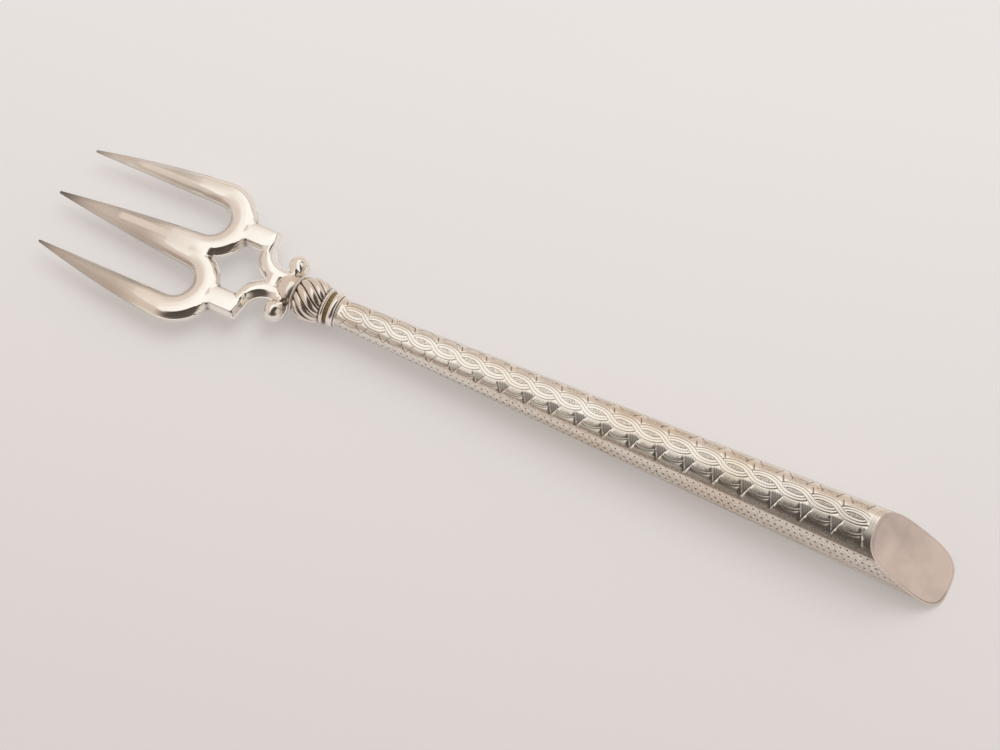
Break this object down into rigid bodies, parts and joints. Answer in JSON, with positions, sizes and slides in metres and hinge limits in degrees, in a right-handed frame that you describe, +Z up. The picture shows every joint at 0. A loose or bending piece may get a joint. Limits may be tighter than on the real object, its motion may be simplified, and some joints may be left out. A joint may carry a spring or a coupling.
{
  "type": "bread fork",
  "caption": "Cast fork head with tapering tines, crescents and scroll brackets on a twisted knop and a hollow, tapering, engraved handle with an oblique oval end plate.",
  "frame": {"origin": "on the table, at the bottom centre of the bounding box of the fork as it lies", "axes": "+X along the fork from the tines towards the butt, +Y across the tines, +Z up"},
  "size_m": [0.205, 0.0354, 0.0126],
  "materials": {
    "cast_silver": "polished, worn, slightly tarnished",
    "knop_silver": "polished lobes with dark tarnish between them",
    "sheet_silver": "polished, engraved all over, soft scratches",
    "plate_silver": "dull, finely scratched",
    "steel": "plain forged",
    "resin": "hard, dull, ochre brown"
  },
  "bodies": {
    "root": {"fork_head": "cast_silver", "twist_knop": "knop_silver", "handle_ferrule": "cast_silver", "handle_tube": "sheet_silver", "end_plate": "plate_silver", "tang": "steel", "resin_filling": "resin"}
  },
  "joints": []
}
